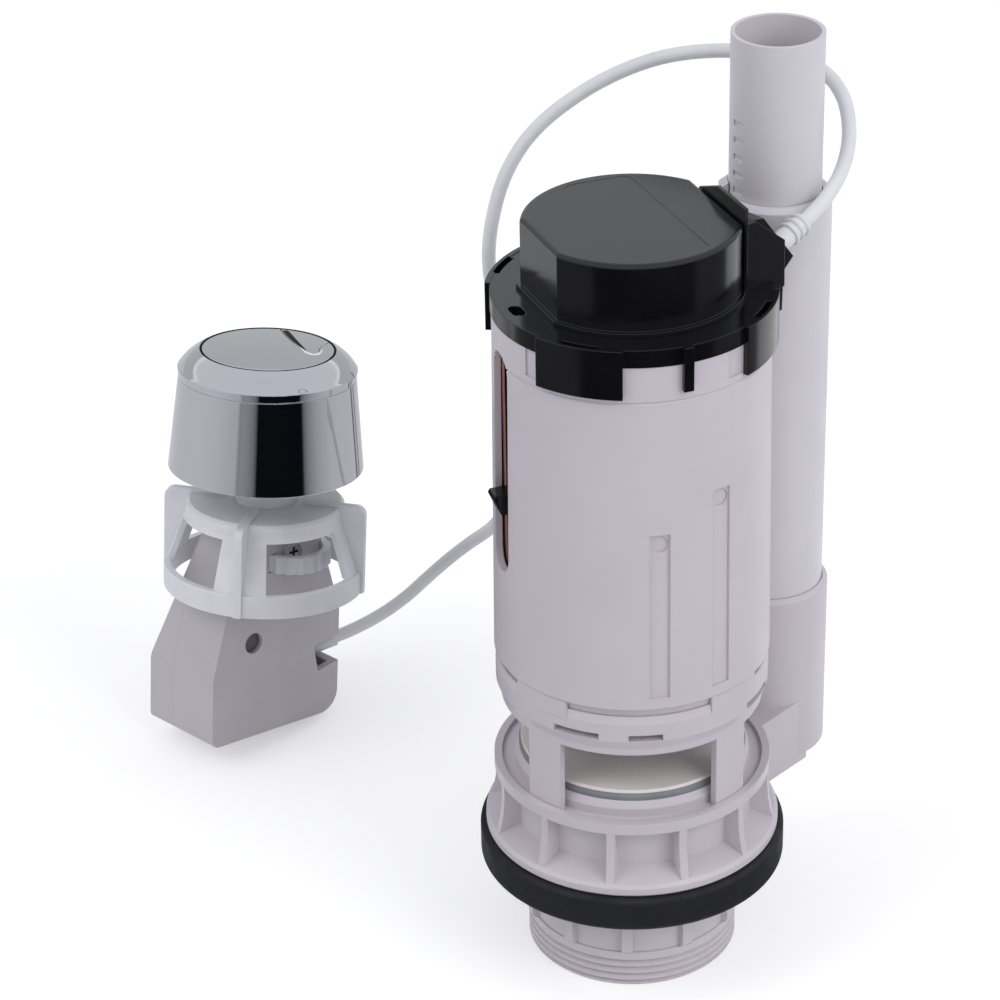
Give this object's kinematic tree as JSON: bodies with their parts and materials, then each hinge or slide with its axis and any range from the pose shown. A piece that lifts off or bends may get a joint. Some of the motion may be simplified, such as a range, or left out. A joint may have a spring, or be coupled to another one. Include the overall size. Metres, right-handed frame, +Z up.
{
  "type": "toilet flush valve",
  "caption": "Dual flush outlet valve with ribbed cup, tall overflow tube and black cap, worked by a sheathed cable from a chrome push button unit.",
  "frame": {"origin": "on the outlet axis at the bottom end of the threaded tail", "axes": "+Z up along the valve, +Y from the outlet axis to the overflow tube, button unit on the -X side"},
  "size_m": [0.2329, 0.1218, 0.262],
  "materials": {
    "valve_plastic": "satin moulded plastic, pale lilac grey",
    "tube_plastic": "satin moulded plastic, pale pinkish grey",
    "black_plastic": "satin black moulded plastic",
    "float_plastic": "matt brown plastic",
    "seal_rubber": "pale translucent silicone rubber",
    "washer_rubber": "black rubber",
    "cable_plastic": "smooth white sheath",
    "chrome": "polished chrome on plastic",
    "nylon": "translucent white nylon",
    "housing_plastic": "satin grey moulded plastic",
    "screw_steel": "zinc plated steel",
    "hidden_plastic": "plain grey plastic"
  },
  "bodies": {
    "valve": {"valve_base": "valve_plastic", "sealing_washer": "washer_rubber", "post_ring": "valve_plastic", "body_cylinder": "valve_plastic", "locking_ring": "black_plastic", "cap_cover": "black_plastic", "cable_inlet": "black_plastic", "lever_pin": "screw_steel", "inlet_ferrule": "cable_plastic", "overflow_sleeve": "tube_plastic", "cable_sheath": "cable_plastic", "housing_ferrule": "cable_plastic", "chrome_collar": "chrome", "chrome_bezel": "chrome", "threaded_neck": "nylon", "housing_front": "housing_plastic", "housing_rear": "housing_plastic", "rocker_pin": "hidden_plastic", "housing_screw": "screw_steel"},
    "stem": {"valve_stem": "hidden_plastic", "flush_seal": "seal_rubber", "seal_retainer": "valve_plastic", "main_float": "float_plastic"},
    "volume_slider": {"float_slider": "black_plastic"},
    "overflow": {"overflow_tube": "tube_plastic"},
    "lift_lever": {"cap_lever": "hidden_plastic"},
    "full_button": {"full_flush_button": "chrome", "full_push_rod": "hidden_plastic"},
    "half_button": {"half_flush_button": "chrome", "half_push_rod": "hidden_plastic"},
    "rocker": {"rocker_lever": "hidden_plastic"},
    "wheel": {"adjusting_wheel": "nylon"},
    "lid_nut": {"cage_nut": "nylon"}
  },
  "joints": [
    {"name": "full_flush_press", "type": "slide", "parent": "valve", "child": "full_button", "axis": [0.0666, -0.1423, -0.9876], "range_m": [0, 0.0055], "stiffness_N_per_m": 250, "springref_m": -0.003},
    {"name": "half_flush_press", "type": "slide", "parent": "valve", "child": "half_button", "axis": [0.0666, -0.1423, -0.9876], "range_m": [0, 0.005], "stiffness_N_per_m": 200, "springref_m": -0.002},
    {"name": "rocker_swing", "type": "hinge", "parent": "valve", "child": "rocker", "pos_m": [-0.15796, -0.01686, 0.03769], "axis": [-0.9978, -0.0095, -0.0659], "range_deg": [0, 25.1]},
    {"name": "lever_swing", "type": "hinge", "parent": "valve", "child": "lift_lever", "pos_m": [0, 0.015, 0.209], "axis": [-1, 0, 0], "range_deg": [0, 32.1]},
    {"name": "stem_lift", "type": "slide", "parent": "valve", "child": "stem", "axis": [0, 0, 1], "range_m": [0, 0.008]},
    {"name": "overflow_height", "type": "slide", "parent": "valve", "child": "overflow", "axis": [0, 0, 1], "range_m": [-0.04, 0.02]},
    {"name": "flush_volume", "type": "slide", "parent": "valve", "child": "volume_slider", "axis": [0, 0, 1], "range_m": [-0.014, 0.036]},
    {"name": "wheel_turn", "type": "hinge", "parent": "valve", "child": "wheel", "pos_m": [-0.15364, 0.00418, 0.06031], "axis": [-0.0666, 0.1423, 0.9876], "continuous": true},
    {"name": "nut_travel", "type": "slide", "parent": "valve", "child": "lid_nut", "axis": [-0.0666, 0.1423, 0.9876], "range_m": [-0.003, 0.009]}
  ],
  "couplings": [
    {"joint": "stem_lift", "follows": "full_flush_press", "ratio": 1.4545},
    {"joint": "rocker_swing", "follows": "full_flush_press", "rad_per_m": 79.365},
    {"joint": "lever_swing", "follows": "full_flush_press", "rad_per_m": 101.55}
  ]
}
